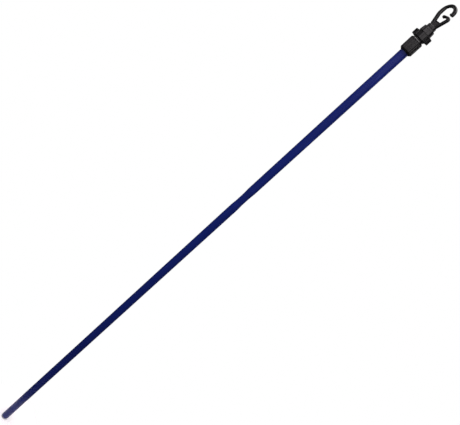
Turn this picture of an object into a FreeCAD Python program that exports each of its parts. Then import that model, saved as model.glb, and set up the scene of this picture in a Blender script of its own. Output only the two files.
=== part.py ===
import FreeCAD, Part
import math
import os

# Swivel-hook pole that a carp streamer flies from. Millimetres, +Z up along the pole.
# The origin is the centre of the pole's butt, at its lowest point. The hook's plane is XZ,
# it opens towards +X, and the two wings of the head point along +X and -X.

V = FreeCAD.Vector
Z_AXIS = V(0, 0, 1)
ORIGIN = V(0, 0, 0)
os.makedirs("parts", exist_ok=True)

# ---- driving dimensions -------------------------------------------------------------------
TOTAL_H = 1220.0          # butt to the top of the hook
POLE_R = 8.0              # over the plastic sheath
SHEATH_T = 0.8
TUBE_T = 0.9              # wall of the steel core tubes
BUTT_CAP_H = 35.0
BUTT_DOME_H = 5.0
BUTT_FLOOR = 8.0          # the core tube stands this high above the butt
WAIST_Z = 750.0           # middle of the waist in the sheath
WAIST_R = 7.25
TUBE_GAP = 34.0           # between the ends of the two core tubes
FERRULE_GRIP = 60.0       # the ferrule reaches this far into each tube

NUT_H = 26.2
NUT_R = 11.95
NUT_CONE_H = 2.8
NUT_LIP_R = 9.0
NUT_CHAMFER_H = 1.5
NUT_TOP_R = 10.6
NUT_RIBS = 16
FLUTE_R = 2.4
FLUTE_DEPTH = 0.5
NECK_GAP = 2.0            # between the tight nut and the head's barrel
WING_ZONE_H = 12.2
CONE_H = 10.1
COLLAR_ZONE_H = 6.1
HOOK_H = 43.9

THREAD_PITCH = 2.0
THREAD_R = 9.75           # crest of the male thread
THREAD_DEPTH = 0.6
THREAD_ROOT_W = 1.2
THREAD_CREST_W = 0.4
THREAD_PLAY = 0.15        # radial play at the roots and axial play at the flanks
MALE_TURNS = 8

BARREL_R = 10.7
BARREL_FOOT_R = 9.95
SKIRT_R = 11.5
CONE_TOP_R = 10.45
CAP_SHOW_H = 3.4          # part of the cone that is the bearing cap
GROOVE_W = 0.3
GROOVE_DEPTH = 0.5
WING_SPAN = 34.9
WING_T = 8.0
WING_H = 10.9
WING_RISE = 1.2           # wings start this far above the barrel's foot
WING_TIP_H = 10.0
WING_RIM = 1.5
WING_POCKET = 2.0
WINDOW_W = 6.8            # recess in the barrel between the wings
WINDOW_DEPTH = 1.2
RIB_R = 1.0
RIB_PROUD = 0.45

COLLAR_R = 8.1
STEM_R = 4.0
HOOK_T = 4.8              # thickness of the hook across its plane
HOOK_EDGE = 1.6           # rounding along the hook's edges
ARM_LEAN = math.radians(18.5)
FRONT_ARM_W = 5.2
WEB_T = 2.4
WEB_H = 10.3
LIP_H = 1.1
LIP_T = 3.8
FOOT_W = -1.0             # the arms and the web start this far inside the collar

FIT = 0.05                # radial clearance of a sliding or turning fit
GAP = 0.3                 # clearance of pieces that never touch

# ---- heights worked out from them ---------------------------------------------------------
NUT_Z = TOTAL_H - HOOK_H - COLLAR_ZONE_H - CONE_H - WING_ZONE_H - NECK_GAP - NUT_H
NUT_TOP_Z = NUT_Z + NUT_H
BARREL_Z = NUT_TOP_Z + NECK_GAP
SKIRT_Z = BARREL_Z + WING_ZONE_H
CONE_TOP_Z = SKIRT_Z + CONE_H
CAP_Z = CONE_TOP_Z - CAP_SHOW_H
HOOK_Z = CONE_TOP_Z + COLLAR_ZONE_H

TUBE_R = POLE_R - SHEATH_T
TUBE_BORE_R = TUBE_R - TUBE_T
LIP_BORE_R = POLE_R + 0.4
RING_Z = NUT_Z + 3.5                  # foot of the clamp ring, just above the nut's lip
RING_H = 5.9
RING_CONE_H = 4.0
RING_FOOT_R = 8.8
RING_TOP_R = 9.5
RING_SLIT = 3.0
SLIP_Z = RING_Z + RING_H + FIT
SLIP_T = 0.6
SOCKET_Z = SLIP_Z + SLIP_T + 0.15     # lower end of the head's threaded tube
POLE_TOP_Z = BARREL_Z + 3.8
PLUG_HEAD_T = 1.2
PAD_T = 1.1
PAD_Z = POLE_TOP_Z + PLUG_HEAD_T + FIT
SOCKET_TOP_Z = PAD_Z + PAD_T
CAVITY_Z = SOCKET_TOP_Z + 2.4         # floor of the room for the stem's screw and washer
CAVITY_R = 7.4
BUSH_R = 5.5
BUSH_FLANGE_R = 7.0
BUSH_FLANGE_T = 1.0
BUSH_Z = CAP_Z - 4.5
STEM_END_Z = BUSH_Z - GAP
WASHER_T = 0.9
WASHER_R = 6.6
SCREW_R = 1.75
SCREW_HEAD_R = 3.4
SCREW_HEAD_H = 2.0
SCREW_GRIP = 9.0
THRUST_T = 0.6
COLLAR_Z = CONE_TOP_Z + THRUST_T + 0.1

MALE_ROOT_R = THREAD_R - THREAD_DEPTH
FEMALE_BORE_R = MALE_ROOT_R + THREAD_PLAY
MALE_THREAD_Z = SOCKET_Z + THREAD_ROOT_W / 2 + 0.5


# ---- small helpers ------------------------------------------------------------------------
def keep(name, shape):
    """Write one finished piece as its own STEP file."""
    shape.exportStep("parts/" + name + ".step")
    box = shape.BoundBox
    print("%-14s %d solid(s) %9.1f mm3  z %.2f to %.2f" %
          (name, len(shape.Solids), shape.Volume, box.ZMin, box.ZMax))


def cylinder(radius, low, high):
    return Part.makeCylinder(radius, high - low, V(0, 0, low))


def tube(outer, inner, low, high):
    return cylinder(outer, low, high).cut(cylinder(inner, low - 1, high + 1))


def turned(corners):
    """Solid of revolution about Z of an outline given as (radius, height) corners."""
    points = [V(r, 0, z) for r, z in corners]
    face = Part.Face(Part.makePolygon(points + points[:1]))
    return face.revolve(ORIGIN, Z_AXIS, 360)


def box(x0, x1, y0, y1, z0, z1):
    return Part.makeBox(x1 - x0, y1 - y0, z1 - z0, V(x0, y0, z0))


def half_turned(shape):
    """The same shape turned half a turn about the pole's axis."""
    copy = shape.copy()
    copy.rotate(ORIGIN, Z_AXIS, 180)
    return copy


def helix_bar(root_r, tip_r, root_w, tip_w, low, high):
    """Trapezoid bar wound round Z as one right-hand thread from low to high."""
    path = Part.makeHelix(THREAD_PITCH, high - low, root_r)
    path.translate(V(0, 0, low))
    section = Part.makePolygon([V(root_r, 0, low - root_w / 2), V(tip_r, 0, low - tip_w / 2),
                                V(tip_r, 0, low + tip_w / 2), V(root_r, 0, low + root_w / 2),
                                V(root_r, 0, low - root_w / 2)])
    return Part.Wire(path.Edges).makePipeShell([section], True, True)


# ---- the pole -----------------------------------------------------------------------------
def core_tube(low, high):
    return tube(TUBE_R, TUBE_BORE_R, low, high)


def joint_ferrule():
    """Inner tube that joins the two core tubes, with its ends bevelled for driving in."""
    reach = TUBE_GAP / 2 + FERRULE_GRIP
    body = tube(TUBE_BORE_R, TUBE_BORE_R - 1.0, WAIST_Z - reach, WAIST_Z + reach)
    ends = [e for e in body.Edges
            if e.Closed and abs(e.Curve.Radius - TUBE_BORE_R) < 1e-6]
    return body.makeChamfer(0.4, ends)


def s_bend(r0, z0, r1, z1):
    """Two equal arcs that lead smoothly from one radius to another along the pole."""
    step, rise = r1 - r0, z1 - z0
    radius = (step * step + rise * rise) / (4 * abs(step))
    sag_z = rise / 4
    sag_r = radius - math.sqrt(radius ** 2 - sag_z ** 2)
    sign = 1 if step > 0 else -1
    start, end = V(r0, 0, z0), V(r1, 0, z1)
    middle = (start + end) * 0.5
    first = Part.Arc(start, V(r0 + sign * sag_r, 0, z0 + sag_z), middle).toShape()
    second = Part.Arc(middle, V(r1 - sign * sag_r, 0, z1 - sag_z), end).toShape()
    return [first, second]


def wall(outer_r, waist_r, flat, bend):
    """One side of the sheath's section, from the butt cap up, with the waist in it."""
    low, high = BUTT_CAP_H + GAP, POLE_TOP_Z
    in_low, in_high = WAIST_Z - flat / 2, WAIST_Z + flat / 2
    edges = [Part.makeLine(V(outer_r, 0, low), V(outer_r, 0, in_low - bend))]
    edges += s_bend(outer_r, in_low - bend, waist_r, in_low)
    edges.append(Part.makeLine(V(waist_r, 0, in_low), V(waist_r, 0, in_high)))
    edges += s_bend(waist_r, in_high, outer_r, in_high + bend)
    edges.append(Part.makeLine(V(outer_r, 0, in_high + bend), V(outer_r, 0, high)))
    return edges


def pole_sleeve():
    """Plastic sheath shrunk over the core tubes; it sinks in where only the ferrule is."""
    outside = wall(POLE_R, WAIST_R, 14.0, 18.0)
    inside = wall(TUBE_R, WAIST_R - SHEATH_T - 0.1, 12.0, 11.0)
    ends = [Part.makeLine(V(TUBE_R, 0, z), V(POLE_R, 0, z))
            for z in (BUTT_CAP_H + GAP, POLE_TOP_Z)]
    section = Part.Face(Part.Wire(Part.__sortEdges__(outside + inside + ends)))
    return section.revolve(ORIGIN, Z_AXIS, 360)


def butt_cap():
    """Domed cup over the lower end of the core tube."""
    dome_r = (POLE_R ** 2 + BUTT_DOME_H ** 2) / (2 * BUTT_DOME_H)
    mid_angle = math.asin(POLE_R / dome_r) / 2
    on_dome = V(dome_r * math.sin(mid_angle), 0, dome_r * (1 - math.cos(mid_angle)))
    rim = 0.3
    edges = [Part.Arc(ORIGIN, on_dome, V(POLE_R, 0, BUTT_DOME_H)).toShape()]
    edges += Part.makePolygon([V(POLE_R, 0, BUTT_DOME_H), V(POLE_R, 0, BUTT_CAP_H - rim),
                               V(POLE_R - rim, 0, BUTT_CAP_H), V(TUBE_R, 0, BUTT_CAP_H),
                               V(TUBE_R, 0, BUTT_FLOOR), V(0, 0, BUTT_FLOOR), ORIGIN]).Edges
    return Part.Face(Part.Wire(edges)).revolve(ORIGIN, Z_AXIS, 360)


def top_plug():
    """Flanged plug in the core tube's open end, hollow from below."""
    depth, wall_t = 22.0, 1.6
    body = turned([(0, POLE_TOP_Z + PLUG_HEAD_T), (POLE_R - 0.4, POLE_TOP_Z + PLUG_HEAD_T),
                   (POLE_R - 0.1, POLE_TOP_Z + PLUG_HEAD_T - 0.3), (POLE_R - 0.1, POLE_TOP_Z),
                   (TUBE_BORE_R, POLE_TOP_Z), (TUBE_BORE_R, POLE_TOP_Z - depth + 1),
                   (TUBE_BORE_R - 0.6, POLE_TOP_Z - depth), (0, POLE_TOP_Z - depth)])
    return body.cut(cylinder(TUBE_BORE_R - wall_t, POLE_TOP_Z - depth - 1, POLE_TOP_Z - 1))


# ---- the clamp ----------------------------------------------------------------------------
def clamp_ring():
    """Split ring with a cone below, gripping the sheath when the nut pushes it up."""
    bore = POLE_R + FIT
    body = turned([(bore, RING_Z), (RING_FOOT_R, RING_Z), (RING_TOP_R, RING_Z + RING_CONE_H),
                   (RING_TOP_R, RING_Z + RING_H), (bore, RING_Z + RING_H)])
    slit = box(0, RING_TOP_R + 1, -RING_SLIT / 2, RING_SLIT / 2, RING_Z - 1, RING_Z + RING_H + 1)
    return body.cut(slit)


def slip_washer():
    return tube(THREAD_R - THREAD_DEPTH - 0.05, POLE_R + GAP, SLIP_Z, SLIP_Z + SLIP_T)


def flute():
    """One groove of the nut's grip, round at its upper end."""
    reach = NUT_R + FLUTE_R - FLUTE_DEPTH
    top = NUT_TOP_Z - NUT_CHAMFER_H - FLUTE_R * 0.9
    groove = Part.makeCylinder(FLUTE_R, top - NUT_Z + 1, V(reach, 0, NUT_Z - 1))
    return groove.fuse(Part.makeSphere(FLUTE_R, V(reach, 0, top)))


def clamp_nut():
    """Ribbed sleeve nut: a lip round the pole, a cone for the clamp ring, then the thread."""
    ring_room = 0.15
    cone_top = RING_Z + RING_CONE_H
    thread_z = RING_Z + RING_H + 1.0
    body = turned([(LIP_BORE_R, NUT_Z), (NUT_LIP_R, NUT_Z), (NUT_R, NUT_Z + NUT_CONE_H),
                   (NUT_R, NUT_TOP_Z - NUT_CHAMFER_H), (NUT_TOP_R, NUT_TOP_Z),
                   (THREAD_R + THREAD_PLAY, NUT_TOP_Z), (FEMALE_BORE_R, NUT_TOP_Z - 0.7),
                   (FEMALE_BORE_R, thread_z), (RING_TOP_R + ring_room, thread_z - 0.4),
                   (RING_TOP_R + ring_room, cone_top), (RING_FOOT_R + ring_room, RING_Z),
                   (LIP_BORE_R, RING_Z - 0.4)])
    for i in range(NUT_RIBS):
        groove = flute()
        groove.rotate(ORIGIN, Z_AXIS, 360 * i / NUT_RIBS)
        body = body.cut(groove)
    slope = (THREAD_ROOT_W - THREAD_CREST_W) / THREAD_DEPTH
    root_r, tip_r = FEMALE_BORE_R - 0.3, THREAD_R + THREAD_PLAY
    widths = [THREAD_ROOT_W - slope * (r - MALE_ROOT_R) + 2 * THREAD_PLAY for r in (root_r, tip_r)]
    turns = math.ceil((NUT_TOP_Z - thread_z) / THREAD_PITCH) + 2
    low = MALE_THREAD_Z - THREAD_PITCH
    groove = helix_bar(root_r, tip_r, widths[0], widths[1], low, low + turns * THREAD_PITCH)
    return body.cut(groove)


# ---- the head -----------------------------------------------------------------------------
def wing():
    """One wing on +X: a tapered block with a framed pocket in each broad face."""
    low, high = BARREL_Z + WING_RISE, BARREL_Z + WING_RISE + WING_H
    inset = (WING_H - WING_TIP_H) / 2
    tip, root = WING_SPAN / 2, BARREL_R - 2.0
    side = [V(root, 0, low), V(tip, 0, low + inset), V(tip, 0, high - inset), V(root, 0, high)]
    face = Part.Face(Part.makePolygon(side + side[:1]))
    face.translate(V(0, -WING_T / 2, 0))
    block = face.extrude(V(0, WING_T, 0))
    tip_edges = [e for e in block.Edges
                 if all(abs(v.X - tip) < 1e-6 for v in e.Vertexes)]
    block = block.makeFillet(0.8, tip_edges)
    for face_y in (-WING_T / 2, WING_T / 2):
        near, far = sorted((face_y * 1.5, face_y - math.copysign(WING_POCKET, face_y)))
        pocket = box(BARREL_R + 0.9, tip - WING_RIM, near, far, low + inset + WING_RIM,
                     high - inset - WING_RIM)
        upright = [e for e in pocket.Edges if abs(e.Vertexes[0].Y - e.Vertexes[1].Y) > 1]
        block = block.cut(pocket.makeFillet(0.6, upright))
    return block


def window_side():
    """Half of the barrel's relief: the recess to cut on the -Y side, and two ribs beside it."""
    recess = box(-WINDOW_W / 2, WINDOW_W / 2, -BARREL_R - 1, -BARREL_R + WINDOW_DEPTH,
                 BARREL_Z + 1.8, SKIRT_Z)
    ribs = []
    for angle in (-125.5, -115.0):
        a = math.radians(angle)
        reach = BARREL_R + RIB_PROUD - RIB_R
        rib = Part.makeCylinder(RIB_R, SKIRT_Z - BARREL_Z - 2.2,
                                V(reach * math.cos(a), reach * math.sin(a), BARREL_Z + 2.2))
        ribs.append(rib.fuse(Part.makeSphere(RIB_R, V(reach * math.cos(a), reach * math.sin(a),
                                                      BARREL_Z + 2.2))))
    return recess, ribs


def cone_r(z):
    """Radius of the head's cone at a height."""
    return SKIRT_R + (CONE_TOP_R - SKIRT_R) * (z - SKIRT_Z) / CONE_H


def head_body():
    """Threaded tube, barrel with wings, and the lower part of the cone, in one moulding."""
    shoulder = CAP_Z - GROOVE_W
    outside = turned([(0, SOCKET_Z), (MALE_ROOT_R, SOCKET_Z), (MALE_ROOT_R, BARREL_Z),
                      (BARREL_FOOT_R, BARREL_Z), (BARREL_R, BARREL_Z + 1.4),
                      (BARREL_R, SKIRT_Z), (SKIRT_R, SKIRT_Z), (cone_r(shoulder), shoulder),
                      (cone_r(shoulder) - GROOVE_DEPTH, shoulder),
                      (cone_r(shoulder) - GROOVE_DEPTH, CAP_Z), (0, CAP_Z)])
    recess, ribs = window_side()
    wing_x = wing()
    body = outside.fuse([wing_x, half_turned(wing_x)] + ribs + [half_turned(r) for r in ribs])
    lead_in = 0.4
    socket = turned([(0, SOCKET_Z - 1), (POLE_R + FIT + lead_in, SOCKET_Z - 1),
                     (POLE_R + FIT + lead_in, SOCKET_Z), (POLE_R + FIT, SOCKET_Z + lead_in),
                     (POLE_R + FIT, SOCKET_TOP_Z), (0, SOCKET_TOP_Z)])
    hollows = [recess, half_turned(recess), socket, cylinder(CAVITY_R, CAVITY_Z, CAP_Z + 1)]
    body = body.cut(hollows).removeSplitter()
    sunk = 0.2                                     # the thread starts this deep in the tube
    slope = (THREAD_ROOT_W - THREAD_CREST_W) / THREAD_DEPTH
    ridge = helix_bar(MALE_ROOT_R - sunk, THREAD_R, THREAD_ROOT_W + sunk * slope, THREAD_CREST_W,
                      MALE_THREAD_Z, MALE_THREAD_Z + MALE_TURNS * THREAD_PITCH)
    return body.fuse(ridge)


def bearing_cap():
    """Top of the cone with a spigot pressed into the body; it carries the bush."""
    bevel = 0.4
    low = BUSH_Z + BUSH_FLANGE_T
    return turned([(BUSH_R, low), (CAVITY_R - bevel, low), (CAVITY_R, low + bevel),
                   (CAVITY_R, CAP_Z), (cone_r(CAP_Z), CAP_Z),
                   (cone_r(CONE_TOP_Z - bevel), CONE_TOP_Z - bevel),
                   (CONE_TOP_R - bevel, CONE_TOP_Z), (BUSH_R, CONE_TOP_Z)])


def swivel_bush():
    """Bush in the cap, its flange below, that the stem turns in."""
    bore = STEM_R + FIT
    return turned([(bore, BUSH_Z), (BUSH_FLANGE_R, BUSH_Z),
                   (BUSH_FLANGE_R, BUSH_Z + BUSH_FLANGE_T), (BUSH_R, BUSH_Z + BUSH_FLANGE_T),
                   (BUSH_R, CONE_TOP_Z - FIT), (bore, CONE_TOP_Z - FIT)])


def socket_pad():
    return cylinder(POLE_R - 0.1, PAD_Z, PAD_Z + PAD_T)


# ---- the swivel hook ----------------------------------------------------------------------
def at(u, w):
    """Point in the hook's plane: u towards the opening, w above the collar."""
    return V(u, 0, HOOK_Z + w)


def on_circle(centre, radius, degrees):
    a = math.radians(degrees)
    return (centre[0] + radius * math.cos(a), centre[1] + radius * math.sin(a))


def outline(path):
    """Closed face in the hook's plane from points; three points in a tuple make an arc."""
    edges, here = [], path[0]
    for step in path[1:] + [path[0]]:
        if isinstance(step[0], tuple):
            edges.append(Part.Arc(at(*here), at(*step[0]), at(*step[1])).toShape())
            here = step[1]
        else:
            edges.append(Part.makeLine(at(*here), at(*step)))
            here = step
    return Part.Face(Part.Wire(edges))


def moulded(face, thickness, edge):
    """Plate of that face, even about the hook's plane, rounded where it stands clear."""
    face.translate(V(0, -thickness / 2, 0))
    plate = face.extrude(V(0, thickness, 0))
    rim = [e for e in plate.Edges
           if abs(e.BoundBox.YMax - e.BoundBox.YMin) < 1e-3 and e.BoundBox.ZMax > HOOK_Z]
    return plate.makeFillet(edge, rim)


def arc_to(centre, radius, start, end):
    """Arc given by its circle and two angles, as the two further points of the outline."""
    return (on_circle(centre, radius, (start + end) / 2), on_circle(centre, radius, end))


def direction(start, end):
    return math.degrees(math.atan2(end[1] - start[1], end[0] - start[0]))


def back_arm():
    """The long arm: it leans back, rises, and comes over the top to a blunt tip with a lobe."""
    back = 14.05                                   # outermost reach behind the axis
    crown, crown_r = (0.45, 31.4), 12.5            # outer circle of the crook
    eye, eye_r = (-0.7, 31.3), 7.35                # inner circle of the crook
    heel_w, heel_r = 23.2, 14.7                    # where the leaning stretch has straightened
    blend = 133.0                                  # angle at which the crown eases off
    ease = math.radians(180 - blend)
    flank_r = (back + crown[0] - crown_r * math.cos(ease)) / (1 - math.cos(ease))
    flank = (flank_r - back, crown[1] - (flank_r - crown_r) * math.sin(ease))
    heel = (heel_r - back, heel_w)
    inner_r = heel_r - (back - (eye_r - eye[0]))

    tip_end, corner_r, lobe_r, hollow_r = -10.0, 1.9, 1.75, 1.0
    corner = on_circle(crown, crown_r - corner_r, tip_end)
    tip_w = corner[1] - corner_r
    lobe = (7.6, tip_w + lobe_r)
    apart = math.dist(eye, lobe)
    near, far = eye_r - hollow_r, lobe_r + hollow_r
    swing = math.degrees(math.acos((near ** 2 + apart ** 2 - far ** 2) / (2 * near * apart)))
    eye_end = direction(eye, lobe) + swing
    hollow = on_circle(eye, near, eye_end)
    lobe_end = direction(lobe, hollow)

    lean = math.degrees(ARM_LEAN)
    slope = math.tan(ARM_LEAN)
    outer_bend = on_circle(heel, heel_r, 180 + lean)
    inner_bend = on_circle(heel, inner_r, 180 + lean)
    path = [(outer_bend[0] + (outer_bend[1] - FOOT_W) * slope, FOOT_W), outer_bend,
            arc_to(heel, heel_r, 180 + lean, 180), (-back, flank[1]),
            arc_to(flank, flank_r, 180, blend), arc_to(crown, crown_r, blend, tip_end),
            arc_to(corner, corner_r, tip_end, -90), (lobe[0], tip_w),
            arc_to(lobe, lobe_r, -90, lobe_end - 360),
            arc_to(hollow, hollow_r, lobe_end - 180, eye_end),
            arc_to(eye, eye_r, eye_end, 180), (eye[0] - eye_r, heel_w),
            arc_to(heel, inner_r, 180, 180 + lean),
            (inner_bend[0] + (inner_bend[1] - FOOT_W) * slope, FOOT_W)]
    return moulded(outline(path), HOOK_T, HOOK_EDGE)


def front_arm():
    """The short arm: it leans forward, bends in and ends in a ball below the tip."""
    lean = 18.0
    sin_lean, cos_lean = math.sin(math.radians(lean)), math.cos(math.radians(lean))
    slope = sin_lean / cos_lean
    bend, bend_r = (9.2, 20.4), 4.8
    ball, ball_r = (0.9, 21.2), 2.35
    under_w, root_r, neck_r = 20.85, 1.2, 2.0      # underside of the finger, and its hollows
    outer = on_circle(bend, bend_r, -lean)
    inner_u = outer[0] - FRONT_ARM_W / cos_lean - outer[1] * slope
    root_w = under_w - root_r
    root = (inner_u + root_w * slope - root_r / cos_lean, root_w)
    inner = on_circle(root, root_r, -lean)
    neck_w = under_w - neck_r
    neck = (ball[0] + math.sqrt((ball_r + neck_r) ** 2 - (ball[1] - neck_w) ** 2), neck_w)
    ball_end = direction(ball, neck)
    swing = math.degrees(math.acos((bend_r - ball_r) / math.dist(bend, ball)))
    touch = direction(bend, ball) - swing          # where the top of the finger leaves each
    path = [(outer[0] - (outer[1] - FOOT_W) * slope, FOOT_W), outer,
            arc_to(bend, bend_r, -lean, touch), on_circle(ball, ball_r, touch),
            arc_to(ball, ball_r, touch, 360 + ball_end),
            arc_to(neck, neck_r, 180 + ball_end, 90), (root[0], under_w),
            arc_to(root, root_r, 90, -lean),
            (inner[0] - (inner[1] - FOOT_W) * slope, FOOT_W)]
    return moulded(outline(path), HOOK_T, HOOK_EDGE)


def web():
    """Thin plate between the two arms with a thicker lip along its top."""
    plate = outline([(-4.2, FOOT_W), (-8.0, WEB_H), (9.0, WEB_H), (4.2, FOOT_W)])
    lip = outline([(-7.6, WEB_H - LIP_H), (-8.0, WEB_H), (9.0, WEB_H), (8.6, WEB_H - LIP_H)])
    parts = []
    for face, thickness in ((plate, WEB_T), (lip, LIP_T)):
        face.translate(V(0, -thickness / 2, 0))
        parts.append(face.extrude(V(0, thickness, 0)))
    return parts[0].fuse(parts[1])


def swivel_hook():
    """Hook, web, collar and stem, in one moulding, with a hole up the stem for the screw."""
    bevel = 0.6
    collar = turned([(0, COLLAR_Z), (COLLAR_R - bevel, COLLAR_Z), (COLLAR_R, COLLAR_Z + bevel),
                     (COLLAR_R, HOOK_Z - bevel), (COLLAR_R - bevel, HOOK_Z), (0, HOOK_Z)])
    stem = cylinder(STEM_R, STEM_END_Z, COLLAR_Z + 1)
    body = collar.fuse([stem, back_arm(), front_arm(), web()])
    return body.cut(cylinder(SCREW_R, STEM_END_Z - 1, STEM_END_Z + SCREW_GRIP)).removeSplitter()


def thrust_washer():
    return tube(COLLAR_R - 0.5, STEM_R + GAP, CONE_TOP_Z, CONE_TOP_Z + THRUST_T)


def stem_washer():
    return tube(WASHER_R, SCREW_R, STEM_END_Z - WASHER_T, STEM_END_Z)


def stem_screw():
    """Pan-head screw up into the stem, with a cross recess in its head."""
    seat = STEM_END_Z - WASHER_T
    low = seat - SCREW_HEAD_H
    head = turned([(0, low), (SCREW_HEAD_R - 0.9, low), (SCREW_HEAD_R, low + 0.9),
                   (SCREW_HEAD_R, seat), (SCREW_R, seat), (SCREW_R, STEM_END_Z + SCREW_GRIP - 2),
                   (0.3, STEM_END_Z + SCREW_GRIP - 0.2), (0, STEM_END_Z + SCREW_GRIP - 0.2)])
    slot = box(-1.8, 1.8, -0.4, 0.4, low - 1, low + 1.2)
    across = box(-0.4, 0.4, -1.8, 1.8, low - 1, low + 1.2)
    return head.cut([slot, across])


# ---- write every piece --------------------------------------------------------------------
keep("lower_tube", core_tube(BUTT_FLOOR, WAIST_Z - TUBE_GAP / 2))
keep("upper_tube", core_tube(WAIST_Z + TUBE_GAP / 2, POLE_TOP_Z))
keep("joint_ferrule", joint_ferrule())
keep("pole_sleeve", pole_sleeve())
keep("butt_cap", butt_cap())
keep("top_plug", top_plug())
keep("clamp_ring", clamp_ring())
keep("slip_washer", slip_washer())
keep("clamp_nut", clamp_nut())
keep("head_body", head_body())
keep("bearing_cap", bearing_cap())
keep("swivel_bush", swivel_bush())
keep("socket_pad", socket_pad())
keep("swivel_hook", swivel_hook())
keep("thrust_washer", thrust_washer())
keep("stem_washer", stem_washer())
keep("stem_screw", stem_screw())
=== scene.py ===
# %% [markdown]
# # A streamer pole with its swivel hook
#
# This is the pole that a carp streamer flies from: a long steel tube in a blue plastic sheath,
# with a black moulded head clamped on its top end. A ribbed nut squeezes a split ring onto the
# pole, two wings give the fingers a hold, and an open hook turns freely on top.
#
# The design, with its joints, comes from the CAD frame. Here each piece that shows is modelled
# again with soft moulded edges, and every surface gets a finish. All lengths are in metres, in
# the same frame as the CAD, so every piece goes where the frame says.

# %% Load the frame
import math

import bmesh
import bpy
from mathutils import Matrix, Vector


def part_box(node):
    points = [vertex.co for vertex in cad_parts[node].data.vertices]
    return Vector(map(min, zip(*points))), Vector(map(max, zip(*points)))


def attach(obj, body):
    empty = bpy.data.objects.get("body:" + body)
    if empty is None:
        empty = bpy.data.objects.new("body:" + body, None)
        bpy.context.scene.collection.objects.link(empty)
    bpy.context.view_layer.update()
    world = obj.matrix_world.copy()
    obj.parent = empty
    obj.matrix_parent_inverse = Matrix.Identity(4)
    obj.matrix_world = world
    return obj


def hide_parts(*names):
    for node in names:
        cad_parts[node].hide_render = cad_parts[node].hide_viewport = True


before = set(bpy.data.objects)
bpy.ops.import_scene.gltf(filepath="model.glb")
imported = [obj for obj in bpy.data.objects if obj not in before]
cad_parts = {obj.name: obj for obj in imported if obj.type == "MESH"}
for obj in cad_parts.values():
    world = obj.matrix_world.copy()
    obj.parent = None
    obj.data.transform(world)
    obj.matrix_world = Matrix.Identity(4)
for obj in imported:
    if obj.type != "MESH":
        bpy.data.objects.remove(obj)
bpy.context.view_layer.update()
MM = 0.001

# %% [markdown]
# ## Where things are
#
# The heights of the head come from the boxes of the CAD nodes, so nothing here is fitted by eye.
# The few shapes inside a node, such as the depth of a groove, are stated once, in millimetres,
# and turned to metres by MM.

# %% Heights and radii from the frame
POLE_R = (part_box("pole_sleeve")[1][0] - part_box("pole_sleeve")[0][0]) / 2
POLE_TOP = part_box("pole_sleeve")[1][2]
SHEATH_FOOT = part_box("pole_sleeve")[0][2]
CORE_R = (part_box("lower_tube")[1][0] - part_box("lower_tube")[0][0]) / 2
SHEATH_T = POLE_R - CORE_R
CAP_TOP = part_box("butt_cap")[1][2]

NUT_R = 11.95 * MM
NUT_FOOT, NUT_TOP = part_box("clamp_nut")[0][2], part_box("clamp_nut")[1][2]
THREAD_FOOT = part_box("head_body")[0][2]
CAP_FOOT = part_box("head_body")[1][2]
CONE_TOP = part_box("bearing_cap")[1][2]
HOOK_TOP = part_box("swivel_hook")[1][2]
STEM_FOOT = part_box("swivel_hook")[0][2]

CONE_H = 10.1 * MM
WING_ZONE_H = 12.2 * MM
COLLAR_H = 6.1 * MM
SKIRT_FOOT = CONE_TOP - CONE_H
BARREL_FOOT = SKIRT_FOOT - WING_ZONE_H
HOOK_FOOT = CONE_TOP + COLLAR_H
WING_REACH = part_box("head_body")[1][0]

for label, height in (("nut", NUT_FOOT), ("barrel", BARREL_FOOT), ("cone", SKIRT_FOOT),
                      ("collar", CONE_TOP), ("hook", HOOK_FOOT), ("top", HOOK_TOP)):
    print("%-8s starts at %.1f mm" % (label, height / MM))

# %% [markdown]
# ## Colours and nodes
#
# Screen colours are written as hex, and Blender wants them linear, so one function turns them.
# Another adds a shader node, gives it its settings and joins its inputs. Those two are enough to
# write any material as a short list of steps.

# %% Colour and node helpers
def colour(hex_code):
    """Linear RGBA from an sRGB hex code."""
    parts = [int(hex_code[i:i + 2], 16) / 255 for i in (1, 3, 5)]
    linear = [c / 12.92 if c <= 0.04045 else ((c + 0.055) / 1.055) ** 2.4 for c in parts]
    return (*linear, 1.0)


def add(tree, kind, inputs=None, **settings):
    """Adds a node; each input is a plain value, or a (node, output name) pair to link."""
    node = tree.nodes.new(kind)
    for name, value in settings.items():
        setattr(node, name, value)
    for name, value in (inputs or {}).items():
        if isinstance(value, tuple) and isinstance(value[0], bpy.types.Node):
            tree.links.new(value[0].outputs[value[1]], node.inputs[name])
        else:
            node.inputs[name].default_value = value
    return node


def ramp(tree, source, stops):
    """Colour ramp over a 0 to 1 source; stops are (position, colour or grey level)."""
    node = add(tree, "ShaderNodeValToRGB", {"Fac": source})
    while len(node.color_ramp.elements) < len(stops):
        node.color_ramp.elements.new(0.5)
    for element, (place, value) in zip(node.color_ramp.elements, stops):
        element.position = place
        element.color = value if isinstance(value, tuple) else (value, value, value, 1.0)
    return node


def new_finish(name):
    """Empty material with its shader, and Object coordinates to lay the patterns out on."""
    material = bpy.data.materials.new(name)
    material.use_nodes = True
    tree = material.node_tree
    tree.nodes.clear()
    shader = add(tree, "ShaderNodeBsdfPrincipled")
    add(tree, "ShaderNodeOutputMaterial", {"Surface": (shader, "BSDF")})
    place = add(tree, "ShaderNodeTexCoord")
    return material, tree, shader, place


def noise(tree, place, size, detail=3.0, stretch=(1, 1, 1)):
    """Noise whose grains are about size metres across, drawn out along an axis by stretch."""
    scaled = add(tree, "ShaderNodeMapping", {"Vector": (place, "Object"),
                                             "Scale": tuple(1 / s for s in stretch)})
    return add(tree, "ShaderNodeTexNoise", {"Vector": (scaled, "Vector"), "Scale": 1 / size,
                                            "Detail": detail, "Roughness": 0.55})


def join(tree, shader, socket, node, output):
    tree.links.new(node.outputs[output], shader.inputs[socket])


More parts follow.
